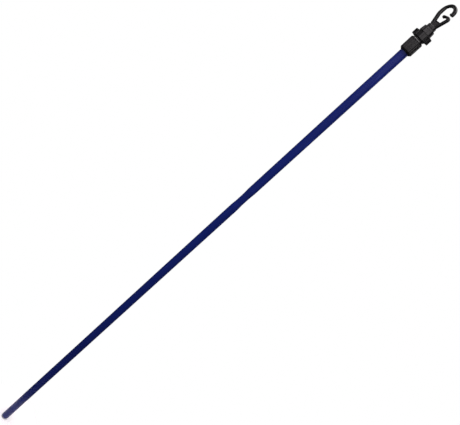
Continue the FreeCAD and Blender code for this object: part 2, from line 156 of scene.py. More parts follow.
# %% [markdown]
# ## Blue sheath
#
# The pole wears a thin PVC sheath, drawn over the steel and shrunk tight. PVC is a dielectric
# with an index of about 1.52. The surface is satin: it was extruded and shrunk, which dulls its
# mirror reflection, so the specular level is set below the usual 0.5. It has faint lines along
# its length, a soft pebbling of a millimetre or two from shrinking, and paler rub marks
# where it was handled. The scales below are those real sizes.

# %% Finish: extruded PVC sheath
def sheath_finish():
    material, tree, shader, place = new_finish("PVC_extruded_blue")
    mottle = noise(tree, place, 60 * MM, 4.0, (1, 1, 3))
    tone = ramp(tree, (mottle, "Fac"), [(0.30, colour("#112070")), (0.70, colour("#182c86"))])
    rub = noise(tree, place, 3.5 * MM, 6.0, (1, 1, 14))
    worn = ramp(tree, (rub, "Fac"), [(0.60, 0.0), (0.78, 1.0)])
    mixed = add(tree, "ShaderNodeMix", {"Factor": (worn, "Color")}, data_type="RGBA")
    tree.links.new(tone.outputs["Color"], mixed.inputs["A"])
    mixed.inputs["B"].default_value = colour("#24389a")
    shader.inputs["IOR"].default_value = 1.52
    shader.inputs["Specular IOR Level"].default_value = 0.3
    join(tree, shader, "Base Color", mixed, "Result")

    haze = noise(tree, place, 9 * MM, 5.0, (1, 1, 5))
    gloss = add(tree, "ShaderNodeMapRange", {"Value": (haze, "Fac"), "From Min": 0.3,
                                             "From Max": 0.7, "To Min": 0.30, "To Max": 0.44})
    join(tree, shader, "Roughness", gloss, "Result")

    lines = noise(tree, place, 0.9 * MM, 2.0, (1, 1, 220))
    pebble = noise(tree, place, 1.6 * MM, 3.0)
    long_bump = add(tree, "ShaderNodeBump", {"Height": (lines, "Fac"), "Strength": 0.10,
                                             "Distance": 0.06 * MM})
    bump = add(tree, "ShaderNodeBump", {"Height": (pebble, "Fac"), "Strength": 0.16,
                                        "Distance": 0.08 * MM, "Normal": (long_bump, "Normal")})
    join(tree, shader, "Normal", bump, "Normal")
    return material


SHEATH = sheath_finish()
print("finish:", SHEATH.name, len(SHEATH.node_tree.nodes), "nodes")

# %% [markdown]
# ## Deeper blue cap
#
# The cap on the butt is a separate vinyl moulding. It was dipped, not extruded, so it has no
# lines along it, only a soft skin, and the ground has scuffed its dome: the scuffs are strongest
# in its lowest millimetres, which a gradient on the height gives. Its specular level is lowered
# like the sheath's.

# %% Finish: dipped vinyl cap
def cap_finish():
    material, tree, shader, place = new_finish("vinyl_dipped_navy")
    mottle = noise(tree, place, 12 * MM, 4.0)
    tone = ramp(tree, (mottle, "Fac"), [(0.32, colour("#0d1660")), (0.68, colour("#131f74"))])
    split = add(tree, "ShaderNodeSeparateXYZ", {"Vector": (place, "Object")})
    low = add(tree, "ShaderNodeMapRange", {"Value": (split, "Z"), "From Min": 0.0,
                                           "From Max": 6 * MM, "To Min": 1.0, "To Max": 0.0})
    grit = noise(tree, place, 0.8 * MM, 6.0)
    rubbed = ramp(tree, (grit, "Fac"), [(0.46, 0.0), (0.60, 1.0)])
    scuff = add(tree, "ShaderNodeMath", {0: (low, "Result"), 1: (rubbed, "Color")},
                operation="MULTIPLY")
    mixed = add(tree, "ShaderNodeMix", {"Factor": (scuff, "Value")}, data_type="RGBA")
    tree.links.new(tone.outputs["Color"], mixed.inputs["A"])
    mixed.inputs["B"].default_value = colour("#4a5488")
    shader.inputs["IOR"].default_value = 1.52
    shader.inputs["Specular IOR Level"].default_value = 0.3
    join(tree, shader, "Base Color", mixed, "Result")
    gloss = add(tree, "ShaderNodeMapRange", {"Value": (scuff, "Value"), "To Min": 0.34,
                                             "To Max": 0.62})
    join(tree, shader, "Roughness", gloss, "Result")
    skin = noise(tree, place, 1.1 * MM, 3.0)
    bump = add(tree, "ShaderNodeBump", {"Height": (skin, "Fac"), "Strength": 0.2,
                                        "Distance": 0.07 * MM})
    join(tree, shader, "Normal", bump, "Normal")
    return material


CAP = cap_finish()
print("finish:", CAP.name, len(CAP.node_tree.nodes), "nodes")

# %% [markdown]
# ## Black moulded plastic
#
# The head is injection-moulded nylon, dyed black right through. Such a moulding is glossy where
# the steel mould was polished, with a faint waviness from shrinking (about 3 mm across), a very
# fine grain, and hair scratches. Four variants share one recipe: a plain one, one for the nut,
# which is duller all over from handling, one for the hook, which shows the fine seam that the
# two halves of its mould left all along its middle plane, and one for the web between the
# hook's arms. The mould was spark-eroded there, so the web is matt; its paler grey base colour
# is a painted sheen, standing in for the light its flat face mirrors.

# %% Finish: moulded black nylon
def moulded_black(name, base, pale, dull, seam=False):
    material, tree, shader, place = new_finish(name)
    cloud = noise(tree, place, 7 * MM, 5.0)
    tone = ramp(tree, (cloud, "Fac"), [(0.35, colour(base)), (0.75, colour(pale))])
    shader.inputs["IOR"].default_value = 1.53
    join(tree, shader, "Base Color", tone, "Color")

    haze = noise(tree, place, 2.4 * MM, 6.0, (1, 1, 2))
    gloss = add(tree, "ShaderNodeMapRange", {"Value": (haze, "Fac"), "From Min": 0.35,
                                             "From Max": 0.70, "To Min": dull - 0.06,
                                             "To Max": dull + 0.10})
    join(tree, shader, "Roughness", gloss, "Result")

    wave = noise(tree, place, 3.0 * MM, 1.0)
    sink = add(tree, "ShaderNodeBump", {"Height": (wave, "Fac"), "Strength": 0.18,
                                        "Distance": 0.10 * MM})
    grain = noise(tree, place, 0.25 * MM, 3.0)
    fine = add(tree, "ShaderNodeBump", {"Height": (grain, "Fac"), "Strength": 0.12,
                                        "Distance": 0.02 * MM, "Normal": (sink, "Normal")})
    scratch = noise(tree, place, 0.35 * MM, 2.0, (1, 1, 30))
    hair = ramp(tree, (scratch, "Fac"), [(0.66, 0.0), (0.70, 1.0)])
    last = add(tree, "ShaderNodeBump", {"Height": (hair, "Color"), "Strength": 0.06,
                                        "Distance": 0.02 * MM, "Normal": (fine, "Normal")},
               invert=True)
    if seam:
        split = add(tree, "ShaderNodeSeparateXYZ", {"Vector": (place, "Object")})
        off = add(tree, "ShaderNodeMath", {0: (split, "Y")}, operation="ABSOLUTE")
        ridge = add(tree, "ShaderNodeMapRange", {"Value": (off, "Value"), "From Min": 0.0,
                                                 "From Max": 0.16 * MM, "To Min": 1.0,
                                                 "To Max": 0.0}, interpolation_type="SMOOTHSTEP")
        last = add(tree, "ShaderNodeBump", {"Height": (ridge, "Result"), "Strength": 0.5,
                                            "Distance": 0.10 * MM, "Normal": (last, "Normal")})
    join(tree, shader, "Normal", last, "Normal")
    return material


HEAD_BLACK = moulded_black("nylon_moulded_black", "#0d0d10", "#19181b", 0.26)
NUT_BLACK = moulded_black("nylon_moulded_black_handled", "#0e0e11", "#1d1b1f", 0.31)
HOOK_BLACK = moulded_black("nylon_moulded_black_seamed", "#0b0b0e", "#17161a", 0.24, True)
# The web's paler base colours are a painted sheen for the light its flat face mirrors; only its
# higher roughness is the real matt of the spark-eroded mould.
WEB_BLACK_PAINTED_SHEEN = moulded_black("nylon_sparked_black_web_painted_sheen", "#19181a", "#2c2a2c", 0.52)
print("finishes:", HEAD_BLACK.name, NUT_BLACK.name, HOOK_BLACK.name)

# %% [markdown]
# ## Finishes of the pieces inside
#
# They show only when the head is pulled off or taken apart, and they are still real materials:
# mill-finish steel with draw lines, undyed acetal and nylon, zinc-plated fixings, soft rubber.

# %% Finishes: steel, acetal, zinc, rubber
def drawn_steel(name, base, pale):
    material, tree, shader, place = new_finish(name)
    lines = noise(tree, place, 0.3 * MM, 4.0, (1, 1, 90))
    tone = ramp(tree, (lines, "Fac"), [(0.35, colour(base)), (0.70, colour(pale))])
    shader.inputs["Metallic"].default_value = 1.0
    join(tree, shader, "Base Color", tone, "Color")
    gloss = add(tree, "ShaderNodeMapRange", {"Value": (lines, "Fac"), "To Min": 0.28,
                                             "To Max": 0.52})
    join(tree, shader, "Roughness", gloss, "Result")
    bump = add(tree, "ShaderNodeBump", {"Height": (lines, "Fac"), "Strength": 0.2,
                                        "Distance": 0.02 * MM})
    join(tree, shader, "Normal", bump, "Normal")
    return material


def plain_moulding(name, base, pale, roughness, ior, grain_size):
    material, tree, shader, place = new_finish(name)
    cloud = noise(tree, place, 5 * MM, 4.0)
    tone = ramp(tree, (cloud, "Fac"), [(0.30, colour(base)), (0.72, colour(pale))])
    shader.inputs["IOR"].default_value = ior
    join(tree, shader, "Base Color", tone, "Color")
    gloss = add(tree, "ShaderNodeMapRange", {"Value": (cloud, "Fac"), "To Min": roughness - 0.06,
                                             "To Max": roughness + 0.10})
    join(tree, shader, "Roughness", gloss, "Result")
    grain = noise(tree, place, grain_size, 3.0)
    bump = add(tree, "ShaderNodeBump", {"Height": (grain, "Fac"), "Strength": 0.2,
                                        "Distance": 0.03 * MM})
    join(tree, shader, "Normal", bump, "Normal")
    return material


STEEL = drawn_steel("steel_drawn_mill_finish", "#7d7d80", "#a9a9ab")
ZINC = drawn_steel("steel_zinc_plated", "#9a9a92", "#c4c3b8")
ACETAL = plain_moulding("acetal_natural", "#cfccc0", "#e2dfd4", 0.38, 1.48, 0.4 * MM)
ACETAL_BLACK = plain_moulding("acetal_black", "#0e0e10", "#1a1a1c", 0.42, 1.48, 0.4 * MM)
RUBBER = plain_moulding("rubber_black", "#121212", "#232322", 0.72, 1.52, 0.7 * MM)

INSIDE = {
    "lower_tube": STEEL, "upper_tube": STEEL, "joint_ferrule": STEEL, "top_plug": ACETAL_BLACK,
    "clamp_ring": ACETAL, "slip_washer": ACETAL, "swivel_bush": ACETAL, "socket_pad": RUBBER,
    "thrust_washer": ACETAL_BLACK, "stem_washer": ZINC, "stem_screw": ZINC,
}
for node_name, material in INSIDE.items():
    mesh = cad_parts[node_name].data
    mesh.materials.clear()
    mesh.materials.append(material)
print("inner pieces with a finish:", len(INSIDE))

# %% [markdown]
# ## Turning and softening
#
# Most pieces here are round. A round piece starts as one open or closed outline of a few points,
# and one full spin about the pole's axis makes it. A lathe would leave its corners sharp and a
# mould wouldn't, so every edge where two faces meet at a real angle is bevelled by a few tenths
# of a millimetre. That thin rounded line is what catches the light on a moulded part.

# %% Helpers for turned pieces
def turn(bm, outline, steps=96, closed=True):
    """Spins an outline of (radius, height) points about Z and welds the seam and the poles."""
    verts = [bm.verts.new((r, 0, z)) for r, z in outline]
    pairs = list(zip(verts, verts[1:])) + ([(verts[-1], verts[0])] if closed else [])
    edges = [bm.edges.new(pair) for pair in pairs]
    bmesh.ops.spin(bm, geom=verts + edges, cent=(0, 0, 0), axis=(0, 0, 1),
                   dvec=(0, 0, 0), angle=2 * math.pi, steps=steps, use_merge=True)
    bmesh.ops.remove_doubles(bm, verts=bm.verts[:], dist=0.001 * MM)
    bmesh.ops.recalc_face_normals(bm, faces=bm.faces[:])


def soften(bm, width, segments=3, least=25.0, among=None):
    """Bevels the edges, among the given ones, where the faces turn by more than least degrees."""
    sharp = [e for e in (among or bm.edges) if len(e.link_faces) == 2
             and e.calc_face_angle(0) > math.radians(least)]
    bmesh.ops.bevel(bm, geom=sharp, offset=width, offset_type="OFFSET", segments=segments,
                    profile=0.5, affect="EDGES", material=-1, clamp_overlap=True)
    return len(sharp)


def finish_piece(bm, name, body, node, material):
    """Makes the object from the mesh, gives it its finish and puts it in the CAD node's place."""
    bmesh.ops.recalc_face_normals(bm, faces=bm.faces[:])
    mesh = bpy.data.meshes.new(name)
    bm.to_mesh(mesh)
    bm.free()
    mesh.polygons.foreach_set("use_smooth", [True] * len(mesh.polygons))
    mesh.set_sharp_from_angle(angle=math.radians(40))
    mesh.materials.append(material)
    piece = bpy.data.objects.new(name, mesh)
    bpy.context.collection.objects.link(piece)
    weighted = piece.modifiers.new("even shading", "WEIGHTED_NORMAL")
    weighted.keep_sharp = True
    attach(piece, body)
    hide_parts(node)
    triangles = sum(len(p.vertices) - 2 for p in mesh.polygons)
    print("%-14s %6d triangles" % (name, triangles))
    return piece


def helix(bm, root_r, tip_r, root_w, tip_w, low, turns, pitch=2.0 * MM, per_turn=64):
    """Winds a trapezoid section up round Z as one right-hand thread."""
    corners = [(root_r, low - root_w / 2), (tip_r, low - tip_w / 2),
               (tip_r, low + tip_w / 2), (root_r, low + root_w / 2)]
    face = bm.faces.new([bm.verts.new((r, 0, z)) for r, z in corners])
    bmesh.ops.spin(bm, geom=[face, *face.edges, *face.verts], cent=(0, 0, 0), axis=(0, 0, 1),
                   dvec=(0, 0, pitch / per_turn), angle=2 * math.pi * turns,
                   steps=int(per_turn * turns))


# %% [markdown]
# ## The sheath
#
# The outline runs up the outside, in over the top end, and back down the bore. Two thirds of the
# way up, the two steel tubes inside leave a gap that only the thinner ferrule bridges, and the
# sheath has shrunk into it. A half cosine makes each side of that waist, so that it starts and
# ends without a crease.

# %% Pole sleeve
WAIST = (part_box("joint_ferrule")[0][2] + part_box("joint_ferrule")[1][2]) / 2
WAIST_R = 7.25 * MM
WAIST_FLAT, WAIST_BEND = 14 * MM, 18 * MM


def waist_side(radius, neck, flat, bend, points=9):
    """(radius, height) points down into the waist and up out of it."""
    eased = [(1 - math.cos(math.pi * i / (points - 1))) / 2 for i in range(points)]
    heights = [WAIST - flat / 2 - bend + bend * i / (points - 1) for i in range(points)]
    into = [(radius + (neck - radius) * e, z) for e, z in zip(eased, heights)]
    return into + [(r, 2 * WAIST - z) for r, z in reversed(into)]


def pole_sleeve():
    outside = waist_side(POLE_R, WAIST_R, WAIST_FLAT, WAIST_BEND)
    inside = waist_side(CORE_R, WAIST_R - SHEATH_T - 0.1 * MM, 12 * MM, 11 * MM)
    spans = 12                     # evenly spread rings keep the long walls from slivers
    lower = [(POLE_R, SHEATH_FOOT + (outside[0][1] - SHEATH_FOOT) * i / spans)
             for i in range(spans)]
    upper = [(POLE_R, outside[-1][1] + (POLE_TOP - outside[-1][1]) * i / 6)
             for i in range(1, 7)]
    bm = bmesh.new()
    turn(bm, lower + outside + upper + [(CORE_R, POLE_TOP)] + inside[::-1]
         + [(CORE_R, SHEATH_FOOT)], steps=64)
    soften(bm, 0.15 * MM, 2, 60)
    return finish_piece(bm, "sheath", "pole", "pole_sleeve", SHEATH)


pole_sleeve()

# %% [markdown]
# ## The cap on the butt
#
# A cup with a domed end. The dome is part of a large circle, and its point on the axis is where
# the spin closes. A thin rolled rim stands at its mouth, where the cap meets the sheath.

# %% Butt cap
def butt_cap():
    dome_h = 5.0 * MM
    floor = 8.0 * MM
    dome_r = (POLE_R ** 2 + dome_h ** 2) / (2 * dome_h)
    widest = math.asin(POLE_R / dome_r)
    dome = [(dome_r * math.sin(widest * i / 12), dome_r * (1 - math.cos(widest * i / 12)))
            for i in range(13)]
    rolled = 0.35 * MM
    mouth = [(POLE_R, CAP_TOP - 6 * rolled), (POLE_R - 0.5 * rolled, CAP_TOP - 5 * rolled),
             (POLE_R - 0.5 * rolled, CAP_TOP - 4 * rolled), (POLE_R, CAP_TOP - 3 * rolled),
             (POLE_R, CAP_TOP - rolled), (POLE_R - rolled, CAP_TOP), (CORE_R, CAP_TOP)]
    bm = bmesh.new()
    turn(bm, dome + mouth + [(CORE_R, floor), (0, floor)], steps=64, closed=False)
    soften(bm, 0.12 * MM, 2, 20)
    return finish_piece(bm, "butt_dome", "pole", "butt_cap", CAP)


butt_cap()

# %% [markdown]
# ## The clamp nut
#
# A sleeve with sixteen shallow flutes for the fingers. The flutes could be cut away with
# booleans, but a spun sleeve with enough columns can simply be pressed in: each column that lies
# under a flute moves inward until it touches an imaginary round bar lying along the nut. The
# bar's upper end is a ball, which gives each flute its round end below the top chamfer.

# %% Clamp nut
RIBS = 16
FLUTE_R = 2.4 * MM
FLUTE_DEPTH = 0.5 * MM
PITCH = 2.0 * MM
THREAD_R = 9.75 * MM
THREAD_DEPTH = 0.6 * MM
THREAD_PLAY = 0.15 * MM
THREAD_ROOT_W, THREAD_CREST_W = 1.2 * MM, 0.4 * MM
THREAD_SLOPE = (THREAD_ROOT_W - THREAD_CREST_W) / THREAD_DEPTH
THREAD_BURY = 0.2 * MM         # a ridge starts this deep in its wall, so that no gap shows
MALE_THREAD = THREAD_FOOT + 1.1 * MM
MALE_TURNS, FEMALE_TURNS = 8, 6.25
FEMALE_ROOT_W, FEMALE_CREST_W = 1.5 * MM, 0.7 * MM
FEMALE_FLARE = THREAD_SLOPE / 0.75             # how fast a ridge of the nut widens in its wall


def press_flutes(bm, top):
    """Moves the outside of the nut in to the surface of the bars, one per flute."""
    reach = NUT_R + FLUTE_R - FLUTE_DEPTH
    spacing = 2 * math.pi / RIBS
    for v in bm.verts:
        radius = math.hypot(v.co.x, v.co.y)
        above = max(0.0, v.co.z - top)
        if radius < POLE_R + 2 * MM or above >= FLUTE_R:
            continue
        bar = math.sqrt(FLUTE_R ** 2 - above ** 2)
        angle = math.atan2(v.co.y, v.co.x)
        aside = angle - spacing * round(angle / spacing)
        if reach * abs(math.sin(aside)) >= bar:
            continue
        pressed = reach * math.cos(aside) - math.sqrt(bar ** 2 - (reach * math.sin(aside)) ** 2)
        if pressed < radius:
            v.co.x *= pressed / radius
            v.co.y *= pressed / radius


def clamp_nut():
    cone_h, chamfer_h = 2.8 * MM, 1.5 * MM
    lip_r, lip_bore, top_r = 9.0 * MM, POLE_R + 0.4 * MM, 10.6 * MM
    crest = THREAD_R - THREAD_DEPTH + THREAD_PLAY
    root = THREAD_R + THREAD_PLAY
    side_top = NUT_TOP - chamfer_h
    flute_top = side_top - FLUTE_R * 0.9
    low = NUT_FOOT + cone_h
    cone = [(lip_r + (NUT_R - lip_r) * i / 5, NUT_FOOT + cone_h * i / 5) for i in range(5)]
    coarse = [(NUT_R, low + (flute_top - low) * i / 14) for i in range(15)]
    fine = [(NUT_R, flute_top + (side_top - flute_top) * i / 8) for i in range(1, 9)]
    inside = [(top_r, NUT_TOP), (root, NUT_TOP), (root, NUT_FOOT + 10.4 * MM),
              (9.65 * MM, NUT_FOOT + 10.0 * MM), (9.65 * MM, NUT_FOOT + 7.5 * MM),
              (9.0 * MM, NUT_FOOT + 3.5 * MM), (lip_bore, NUT_FOOT + 3.1 * MM),
              (lip_bore, NUT_FOOT)]
    bm = bmesh.new()
    turn(bm, cone + coarse + fine + inside, steps=RIBS * 16)
    press_flutes(bm, flute_top)
    rims = [e for e in bm.edges
            if abs(e.verts[0].co.z - e.verts[1].co.z) < 0.02 * MM
            and (e.verts[0].co.z < low + 0.01 * MM or e.verts[0].co.z > side_top - 0.01 * MM)]
    soften(bm, 0.2 * MM, 3, 15, rims)
    foot_w = FEMALE_ROOT_W + THREAD_BURY * FEMALE_FLARE
    helix(bm, root + THREAD_BURY, crest, foot_w, FEMALE_CREST_W, MALE_THREAD + PITCH / 2,
          FEMALE_TURNS)
    return finish_piece(bm, "nut", "nut", "clamp_nut", NUT_BLACK)


clamp_nut()

# %% [markdown]
# ## The head
#
# One moulding: a threaded tube below, a barrel with two wings, and the lower part of the cone.
# The barrel and cone are turned. The flat recess between the wings is pressed in, as the flutes
# were, after four cuts by bisect_plane have given it straight sides. Each wing is a bevelled
# block whose broad faces are inset and sunk, which leaves a frame round a pocket. It goes into
# the barrel without being joined to it, and so do the ribs. The thread is a trapezoid wound up
# round the tube.

# %% Head body
BARREL_R, BARREL_FOOT_R = 10.7 * MM, 9.95 * MM
SKIRT_R, CONE_TOP_R = 11.5 * MM, 10.45 * MM
GROOVE_W = 0.3 * MM
WINDOW_HALF, WINDOW_DEPTH = 3.4 * MM, 1.2 * MM
WING_T, WING_H, WING_TIP_H = 8.0 * MM, 10.9 * MM, 10.0 * MM
WING_RISE = 1.2 * MM            # the wings start this far above the barrel's foot
WING_ROOT_IN = 2.0 * MM         # and this far inside its surface
WING_RIM, WING_POCKET = 1.5 * MM, 2.0 * MM


def cone_r(z):
    return SKIRT_R + (CONE_TOP_R - SKIRT_R) * (z - SKIRT_FOOT) / CONE_H


def press_windows(bm):
    """Flattens the barrel between the wings, on both sides, up to the skirt."""
    for x in (-1, 1):
        for edge in (WINDOW_HALF, WINDOW_HALF + 0.12 * MM):
            bmesh.ops.bisect_plane(bm, geom=bm.verts[:] + bm.edges[:] + bm.faces[:],
                                   dist=0.001 * MM, plane_co=(x * edge, 0, 0),
                                   plane_no=(1, 0, 0))
    floor_y = BARREL_R - WINDOW_DEPTH
    for v in bm.verts:
        inside = (abs(v.co.x) < WINDOW_HALF + 0.02 * MM
                  and BARREL_FOOT + 1.9 * MM < v.co.z < SKIRT_FOOT + 0.01 * MM
                  and floor_y < abs(v.co.y) < BARREL_R + 0.01 * MM)
        if inside:
            v.co.y = math.copysign(floor_y, v.co.y)


def capsule(bm, centre, radius, length):
    """Round-ended rib standing up from centre."""
    ball = bmesh.ops.create_uvsphere(bm, u_segments=20, v_segments=10, radius=radius)["verts"]
    for v in ball:
        v.co.z += length if v.co.z > 0.01 * radius else 0
        v.co += Vector(centre)


def on_wing(face, side, low):
    """True for the faces of one wing that stand clear of the barrel."""
    middle, play = face.calc_center_median(), 0.01 * MM
    return (middle.x * side > BARREL_R - WING_ROOT_IN
            and abs(middle.y) <= WING_T / 2 + play
            and low - play <= middle.z <= low + WING_H + play
            and len(face.verts) == 4 and face.calc_area() > (0.5 * MM) ** 2
            and max(abs(v.co.x) for v in face.verts) > BARREL_R + 0.2 * MM)


def wing(bm, side):
    """Tapered block with a framed pocket in each broad face; side is +1 or -1 along X."""
    root, tip, frame_x = BARREL_R - WING_ROOT_IN, WING_REACH, BARREL_R - 0.6 * MM
    low = BARREL_FOOT + WING_RISE
    block = bmesh.ops.create_cube(bm, size=1)["verts"]
    for v in block:
        at_tip = v.co.x > 0
        height = WING_TIP_H if at_tip else WING_H
        v.co = Vector((side * (tip if at_tip else root), v.co.y * WING_T,
                       low + WING_H / 2 + v.co.z * height))
    edges = list({e for v in block for e in v.link_edges})
    faces = list({f for v in block for f in v.link_faces})
    cut = bmesh.ops.bisect_plane(bm, geom=block + edges + faces, dist=0.001 * MM,
                                 plane_co=(side * frame_x, 0, 0), plane_no=(side, 0, 0))
    faces = [f for f in cut["geom"] if isinstance(f, bmesh.types.BMFace)]
    bmesh.ops.recalc_face_normals(bm, faces=faces)
    broad = [f for f in faces if abs(f.normal.y) > 0.9
             and abs(f.calc_center_median().x) > frame_x]
    bmesh.ops.inset_individual(bm, faces=broad, thickness=WING_RIM, use_even_offset=True)
    bmesh.ops.inset_individual(bm, faces=broad, thickness=0.2 * MM, depth=-WING_POCKET,
                               use_even_offset=True)
    own = [e for e in bm.edges if any(on_wing(f, side, low) for f in e.link_faces)]
    soften(bm, 0.3 * MM, 3, 30, own)


def head_body():
    groove_z = CAP_FOOT - GROOVE_W
    thread_root = THREAD_R - THREAD_DEPTH
    socket_r = POLE_R + 0.05 * MM
    pad_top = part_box("socket_pad")[1][2]
    room_r, room_floor = 7.4 * MM, pad_top + 2.4 * MM
    low, high = BARREL_FOOT + 1.4 * MM, SKIRT_FOOT
    rows = [(BARREL_R, low), (BARREL_R, BARREL_FOOT + 1.8 * MM),
            (BARREL_R, BARREL_FOOT + 1.95 * MM)]
    rows += [(BARREL_R, rows[-1][1] + (high - rows[-1][1]) * i / 6) for i in range(1, 7)]
    cone = [(cone_r(high + (groove_z - high) * i / 4), high + (groove_z - high) * i / 4)
            for i in range(5)]
    outline = [(socket_r, THREAD_FOOT), (thread_root, THREAD_FOOT), (thread_root, BARREL_FOOT),
               (BARREL_FOOT_R, BARREL_FOOT)] + rows + cone + [
               (cone_r(groove_z) - 0.5 * MM, groove_z), (cone_r(groove_z) - 0.5 * MM, CAP_FOOT),
               (room_r, CAP_FOOT), (room_r, room_floor), (0, room_floor)]
    socket = [(0, pad_top), (socket_r, pad_top)]
    bm = bmesh.new()
    turn(bm, outline, steps=192, closed=False)
    turn(bm, socket + [(socket_r, THREAD_FOOT)], steps=192, closed=False)
    bmesh.ops.remove_doubles(bm, verts=bm.verts[:], dist=0.002 * MM)
    bmesh.ops.recalc_face_normals(bm, faces=bm.faces[:])
    press_windows(bm)
    rims = [e for e in bm.edges if abs(e.verts[0].co.z - e.verts[1].co.z) < 0.01 * MM
            and math.hypot(e.verts[0].co.x, e.verts[0].co.y) > BARREL_R + 0.1 * MM]
    soften(bm, 0.25 * MM, 3, 30, rims)
    for side in (1, -1):
        wing(bm, side)
    rib_r, proud = 1.0 * MM, 0.45 * MM
    reach = BARREL_R + proud - rib_r
    for degrees in (-125.5, -115.0, 54.5, 65.0):
        a = math.radians(degrees)
        capsule(bm, (reach * math.cos(a), reach * math.sin(a), BARREL_FOOT + 2.2 * MM), rib_r,
                SKIRT_FOOT - BARREL_FOOT - 2.2 * MM)
    foot_w = THREAD_ROOT_W + THREAD_BURY * THREAD_SLOPE
    helix(bm, thread_root - THREAD_BURY, THREAD_R, foot_w, THREAD_CREST_W, MALE_THREAD,
          MALE_TURNS)
    return finish_piece(bm, "head", "head", "head_body", HEAD_BLACK)


head_body()

# %% [markdown]
# ## The bearing cap
#
# The top of the cone is a separate moulding, pressed into the body. It is turned, with a soft
# upper rim and a small corner left above the groove that parts it from the body.

# %% Bearing cap
def bearing_cap():
    room_r, bush_r = 7.4 * MM, 5.5 * MM
    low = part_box("bearing_cap")[0][2]
    bm = bmesh.new()
    turn(bm, [(bush_r, low), (room_r - 0.4 * MM, low), (room_r, low + 0.4 * MM),
              (room_r, CAP_FOOT), (cone_r(CAP_FOOT), CAP_FOOT), (CONE_TOP_R, CONE_TOP),
              (bush_r, CONE_TOP)], steps=128)
    soften(bm, 0.3 * MM, 4, 30)
    return finish_piece(bm, "cone_cap", "head", "bearing_cap", HEAD_BLACK)


bearing_cap()

# %% [markdown]
# ## The swivel hook
#
# The hook is drawn flat, as a mould maker draws it, from arcs that run smoothly into each other.
# The face is extruded to the rod's thickness and its rim is rounded, so the flat outline becomes
# a rod. A long arm leans back, rises and curls over the top to a blunt tip. A short arm leans
# forward and ends in a finger with a ball. The inset operator then sinks a shallow channel along
# the middle of both faces, the way such a rod is cored so that it cools without sink marks. The
# inset keeps its distance from the outline, so the channel ends in a small round pit in the ball.

# %% Hook outlines
def on_circle(centre, radius, degrees):
    a = math.radians(degrees)
    return (centre[0] + radius * math.cos(a), centre[1] + radius * math.sin(a))


def bearing(start, end):
    return math.degrees(math.atan2(end[1] - start[1], end[0] - start[0]))


def arc(centre, radius, start, end, sag=0.012):
    """Points along an arc, so close that no chord is further than sag from it."""
    step = 2 * math.degrees(math.acos(1 - sag / radius))
    count = max(2, math.ceil(abs(end - start) / step))
    return [on_circle(centre, radius, start + (end - start) * i / count)
            for i in range(count + 1)]


def foot(point, lean, height=-1.0):
    """Where a leaning side of an arm goes into the collar."""
    return (point[0] + (point[1] - height) * math.tan(math.radians(lean)), height)


def back_arm_outline():
    lean, back = 18.5, 14.05
    heel, heel_r = (0.65, 23.2), 14.7
    flank, flank_r = (4.74, 26.8), 18.79
    crown, crown_r = (0.45, 31.4), 12.5
    eye, eye_r = (-0.7, 31.3), 7.35
    blend, tip_end = 133, -10
    corner_r, lobe_r, hollow_r = 1.9, 1.75, 1.0
    corner = on_circle(crown, crown_r - corner_r, tip_end)
    lobe = (7.6, corner[1] - corner_r + lobe_r)
    near, far, apart = eye_r - hollow_r, lobe_r + hollow_r, math.dist(eye, lobe)
    swing = math.acos((near ** 2 + apart ** 2 - far ** 2) / (2 * near * apart))
    eye_end = bearing(eye, lobe) + math.degrees(swing)
    hollow = on_circle(eye, near, eye_end)
    lobe_end = bearing(lobe, hollow)
    inner_r = heel_r - (back + eye[0] - eye_r)
    return ([foot(on_circle(heel, heel_r, 180 + lean), lean)]
            + arc(heel, heel_r, 180 + lean, 180) + arc(flank, flank_r, 180, blend)
            + arc(crown, crown_r, blend, tip_end) + arc(corner, corner_r, tip_end, -90)
            + arc(lobe, lobe_r, -90, lobe_end - 360)
            + arc(hollow, hollow_r, lobe_end - 180, eye_end) + arc(eye, eye_r, eye_end, 180)
            + arc(heel, inner_r, 180, 180 + lean)
            + [foot(on_circle(heel, inner_r, 180 + lean), lean)])


def front_arm_outline():
    lean, width = 18.0, 5.2
    bend, bend_r = (9.2, 20.4), 4.8
    ball, ball_r = (0.9, 21.2), 2.35
    under, root_r, neck_r = 20.85, 1.2, 2.0
    slope, cos_lean = math.tan(math.radians(lean)), math.cos(math.radians(lean))
    outer = on_circle(bend, bend_r, -lean)
    inner_x = outer[0] - width / cos_lean - outer[1] * slope
    root = (inner_x + (under - root_r) * slope - root_r / cos_lean, under - root_r)
    neck_z = under - neck_r
    neck = (ball[0] + math.sqrt((ball_r + neck_r) ** 2 - (ball[1] - neck_z) ** 2), neck_z)
    ball_end = bearing(ball, neck)
    touch = bearing(bend, ball) - math.degrees(math.acos((bend_r - ball_r)
                                                         / math.dist(bend, ball)))
    return ([foot(outer, -lean)] + arc(bend, bend_r, -lean, touch)
            + arc(ball, ball_r, touch, 360 + ball_end) + arc(neck, neck_r, 180 + ball_end, 90)
            + arc(root, root_r, 90, -lean) + [foot(on_circle(root, root_r, -lean), -lean)])


for label, outline in (("back arm", back_arm_outline()), ("front arm", front_arm_outline())):
    print(label, len(outline), "points")

# %% Hook
HOOK_T = 4.8 * MM
HOOK_EDGE = 1.35 * MM


def flat_face(bm, outline):
    """Face in the hook's plane from (x, z) points given in mm above the collar."""
    spots = [Vector((x * MM, 0, HOOK_FOOT + z * MM)) for x, z in outline]
    kept = [p for i, p in enumerate(spots) if (p - spots[i - 1]).length > 0.01 * MM]
    return bm.faces.new([bm.verts.new(p) for p in kept])


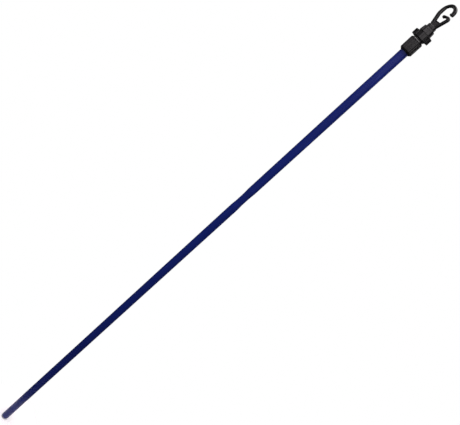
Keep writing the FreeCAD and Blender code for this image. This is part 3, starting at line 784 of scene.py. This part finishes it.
def moulded(outline, thickness, edge, channel=True):
    """Plate of that outline, rounded at its rim, with a channel sunk in both faces."""
    bm = bmesh.new()
    face = flat_face(bm, outline)
    bmesh.ops.translate(bm, verts=bm.verts[:], vec=(0, -thickness / 2, 0))
    made = bmesh.ops.extrude_face_region(bm, geom=[face])["geom"]
    bmesh.ops.translate(bm, verts=[v for v in made if isinstance(v, bmesh.types.BMVert)],
                        vec=(0, thickness, 0))
    bmesh.ops.recalc_face_normals(bm, faces=bm.faces[:])
    rim = [e for e in bm.edges if abs(e.verts[0].co.y - e.verts[1].co.y) < 0.01 * MM]
    bmesh.ops.bevel(bm, geom=rim, offset=edge, offset_type="OFFSET", segments=6, profile=0.5,
                    affect="EDGES", material=-1, clamp_overlap=False)
    bmesh.ops.remove_doubles(bm, verts=bm.verts[:], dist=0.03 * MM)
    broad = sorted(bm.faces, key=lambda f: -f.calc_area() * (abs(f.normal.y) > 0.99))[:2]
    if channel:
        for inward, down in ((0.14, 0), (0.05, 0.04), (0.05, 0.11), (0.05, 0.11), (0.05, 0.04)):
            bmesh.ops.inset_individual(bm, faces=broad, thickness=inward * MM,
                                       depth=-down * MM, use_even_offset=True)
    return bm


def add_to(target, source):
    """Puts the mesh of one bmesh into another."""
    carrier = bpy.data.meshes.new("carrier")
    source.to_mesh(carrier)
    source.free()
    target.from_mesh(carrier)
    bpy.data.meshes.remove(carrier)


WEB_SLOT = 1                   # the web's faces take the hook's second finish, whose paler base colour is a painted sheen


def web(bm):
    """Thin plate between the arms, with a thicker lip along its top."""
    high, lip = 10.3, 1.1
    plate = [(-4.2, -1.0), (-8.0, high), (9.0, high), (4.2, -1.0)]
    bead = [(-7.6, high - lip), (-8.0, high), (9.0, high), (8.6, high - lip)]
    sheet = moulded(plate, 2.4 * MM, 0.2 * MM, channel=False)
    for face in sheet.faces:
        face.material_index = WEB_SLOT
    add_to(bm, sheet)
    add_to(bm, moulded(bead, 3.8 * MM, 0.45 * MM, channel=False))


def collar(bm):
    radius, stem_r = 8.1 * MM, 4.0 * MM
    low = CONE_TOP + 0.7 * MM
    screw_r, hole = 1.75 * MM, 9.0 * MM
    turned = bmesh.new()
    turn(turned, [(0, HOOK_FOOT), (radius, HOOK_FOOT), (radius, low), (stem_r, low),
                  (stem_r, STEM_FOOT), (screw_r, STEM_FOOT), (screw_r, STEM_FOOT + hole),
                  (0, STEM_FOOT + hole)], steps=128, closed=False)
    soften(turned, 0.6 * MM, 5, 40, [e for e in turned.edges
                                     if math.hypot(*e.verts[0].co.xy) > radius - 0.01 * MM])
    add_to(bm, turned)


def mould_mark(bm):
    """Small round boss that an ejector pin left on the long arm's far face."""
    spot = bmesh.ops.create_uvsphere(bm, u_segments=20, v_segments=10, radius=0.75 * MM)["verts"]
    for v in spot:
        v.co.y *= 0.5
        v.co += Vector((-10.6 * MM, HOOK_T / 2 - 0.35 * MM, HOOK_FOOT + 29.8 * MM))


def swivel_hook():
    bm = bmesh.new()
    add_to(bm, moulded(back_arm_outline(), HOOK_T, HOOK_EDGE))
    add_to(bm, moulded(front_arm_outline(), HOOK_T, HOOK_EDGE))
    web(bm)
    collar(bm)
    mould_mark(bm)
    piece = finish_piece(bm, "hook", "hook", "swivel_hook", HOOK_BLACK)
    piece.data.materials.append(WEB_BLACK_PAINTED_SHEEN)
    return piece


swivel_hook()

# %% [markdown]
# ## The studio
#
# A pale floor, soft lamps and the camera. The floor is only a small disc under the butt, because
# a wide bright floor would be mirrored all along the lower pole. The world is white where the
# camera sees it and almost black where the surfaces mirror it, the way a studio has a bright
# sweep behind the object and dark walls around. Glossy black plastic shows its form only through
# what it mirrors: two wide panels in front stand at the height that the head mirrors, a weaker
# one stands far left, and a narrow strip behind draws a line along the cone seen from the back.
# The large overhead panel lights the blue of the pole.

# %% Floor and world
def floor_finish():
    material, tree, shader, place = new_finish("paper_matt_white")
    fibre = noise(tree, place, 8 * MM, 3.0)
    tone = ramp(tree, (fibre, "Fac"), [(0.3, colour("#fafafa")), (0.7, colour("#ffffff"))])
    join(tree, shader, "Base Color", tone, "Color")
    gloss = add(tree, "ShaderNodeMapRange", {"Value": (fibre, "Fac"), "To Min": 0.85,
                                             "To Max": 0.95})
    join(tree, shader, "Roughness", gloss, "Result")
    return material


def studio_floor():
    bm = bmesh.new()
    bmesh.ops.create_circle(bm, cap_ends=True, cap_tris=True, segments=96, radius=0.08)
    mesh = bpy.data.meshes.new("floor")
    bm.to_mesh(mesh)
    bm.free()
    mesh.materials.append(floor_finish())
    floor = bpy.data.objects.new("floor", mesh)
    bpy.context.collection.objects.link(floor)


def studio_world(seen, mirrored):
    world = bpy.data.worlds.new("studio")
    world.use_nodes = True
    tree = world.node_tree
    tree.nodes.clear()
    path = add(tree, "ShaderNodeLightPath")
    glow = add(tree, "ShaderNodeMix", {"Factor": (path, "Is Camera Ray")}, data_type="RGBA")
    glow.inputs["A"].default_value = (mirrored, mirrored, mirrored * 1.03, 1)
    glow.inputs["B"].default_value = (seen, seen, seen, 1)
    back = add(tree, "ShaderNodeBackground", {"Color": (glow, "Result")})
    add(tree, "ShaderNodeOutputWorld", {"Surface": (back, "Background")})
    bpy.context.scene.world = world


studio_floor()
studio_world(1.0, 0.05)


# %% Lamps
def panel(name, azimuth, distance, height, aim, size, watts):
    """Soft panel lamp; azimuth is counted as the views are, 0 in front on -Y."""
    a = math.radians(azimuth)
    lamp = bpy.data.lights.new(name, "AREA")
    lamp.shape = "RECTANGLE"
    lamp.size, lamp.size_y = size
    lamp.energy = watts
    lamp.color = (1.0, 0.94, 0.96)
    stand = bpy.data.objects.new(name, lamp)
    stand.location = (distance * math.sin(a), -distance * math.cos(a), height)
    stand.rotation_euler = (Vector(aim) - stand.location).to_track_quat("-Z", "Y").to_euler()
    bpy.context.collection.objects.link(stand)


HEAD_MIDDLE = (0, 0, (BARREL_FOOT + SKIRT_FOOT) / 2)
panel("front left", 5, 2.0, 1.85, HEAD_MIDDLE, (2.2, 0.9), 9.5)
panel("front right", 68, 2.0, 1.85, HEAD_MIDDLE, (2.2, 0.9), 9.5)
panel("far left", -62, 2.0, 1.85, HEAD_MIDDLE, (1.6, 0.9), 3.0)
panel("strip", 172, 2.0, 1.6, HEAD_MIDDLE, (0.4, 1.2), 2.5)
panel("overhead", 0, 0.2, 3.2, (0, 0, 0.6), (3.0, 3.0), 130)


# %% Camera
VIEW_ANGLES = (37.875, 16.617, 47.726)         # azimuth, elevation and roll, in degrees
VIEW_PLACE = (0.5717, -0.73174, 0.99179)
SENSOR_MM, LENS_MM = 36, 40.76


def studio_camera():
    """Eye level near the head, turned so that the pole runs up to the right."""
    azimuth, elevation, roll = (math.radians(d) for d in VIEW_ANGLES)
    forward = Vector((-math.sin(azimuth) * math.cos(elevation),
                      math.cos(azimuth) * math.cos(elevation), -math.sin(elevation)))
    level = Vector((math.cos(azimuth), math.sin(azimuth), 0))
    upright = level.cross(forward)
    across = level * math.cos(roll) + upright * math.sin(roll)
    up = upright * math.cos(roll) - level * math.sin(roll)
    lens = bpy.data.cameras.new("camera")
    lens.sensor_width, lens.lens = SENSOR_MM, LENS_MM
    camera = bpy.data.objects.new("camera", lens)
    turn_of = Matrix((across, up, -forward)).transposed().to_4x4()
    camera.matrix_world = Matrix.Translation(VIEW_PLACE) @ turn_of
    bpy.context.collection.objects.link(camera)
    bpy.context.scene.camera = camera


studio_camera()
bpy.context.scene.view_settings.view_transform = "Standard"
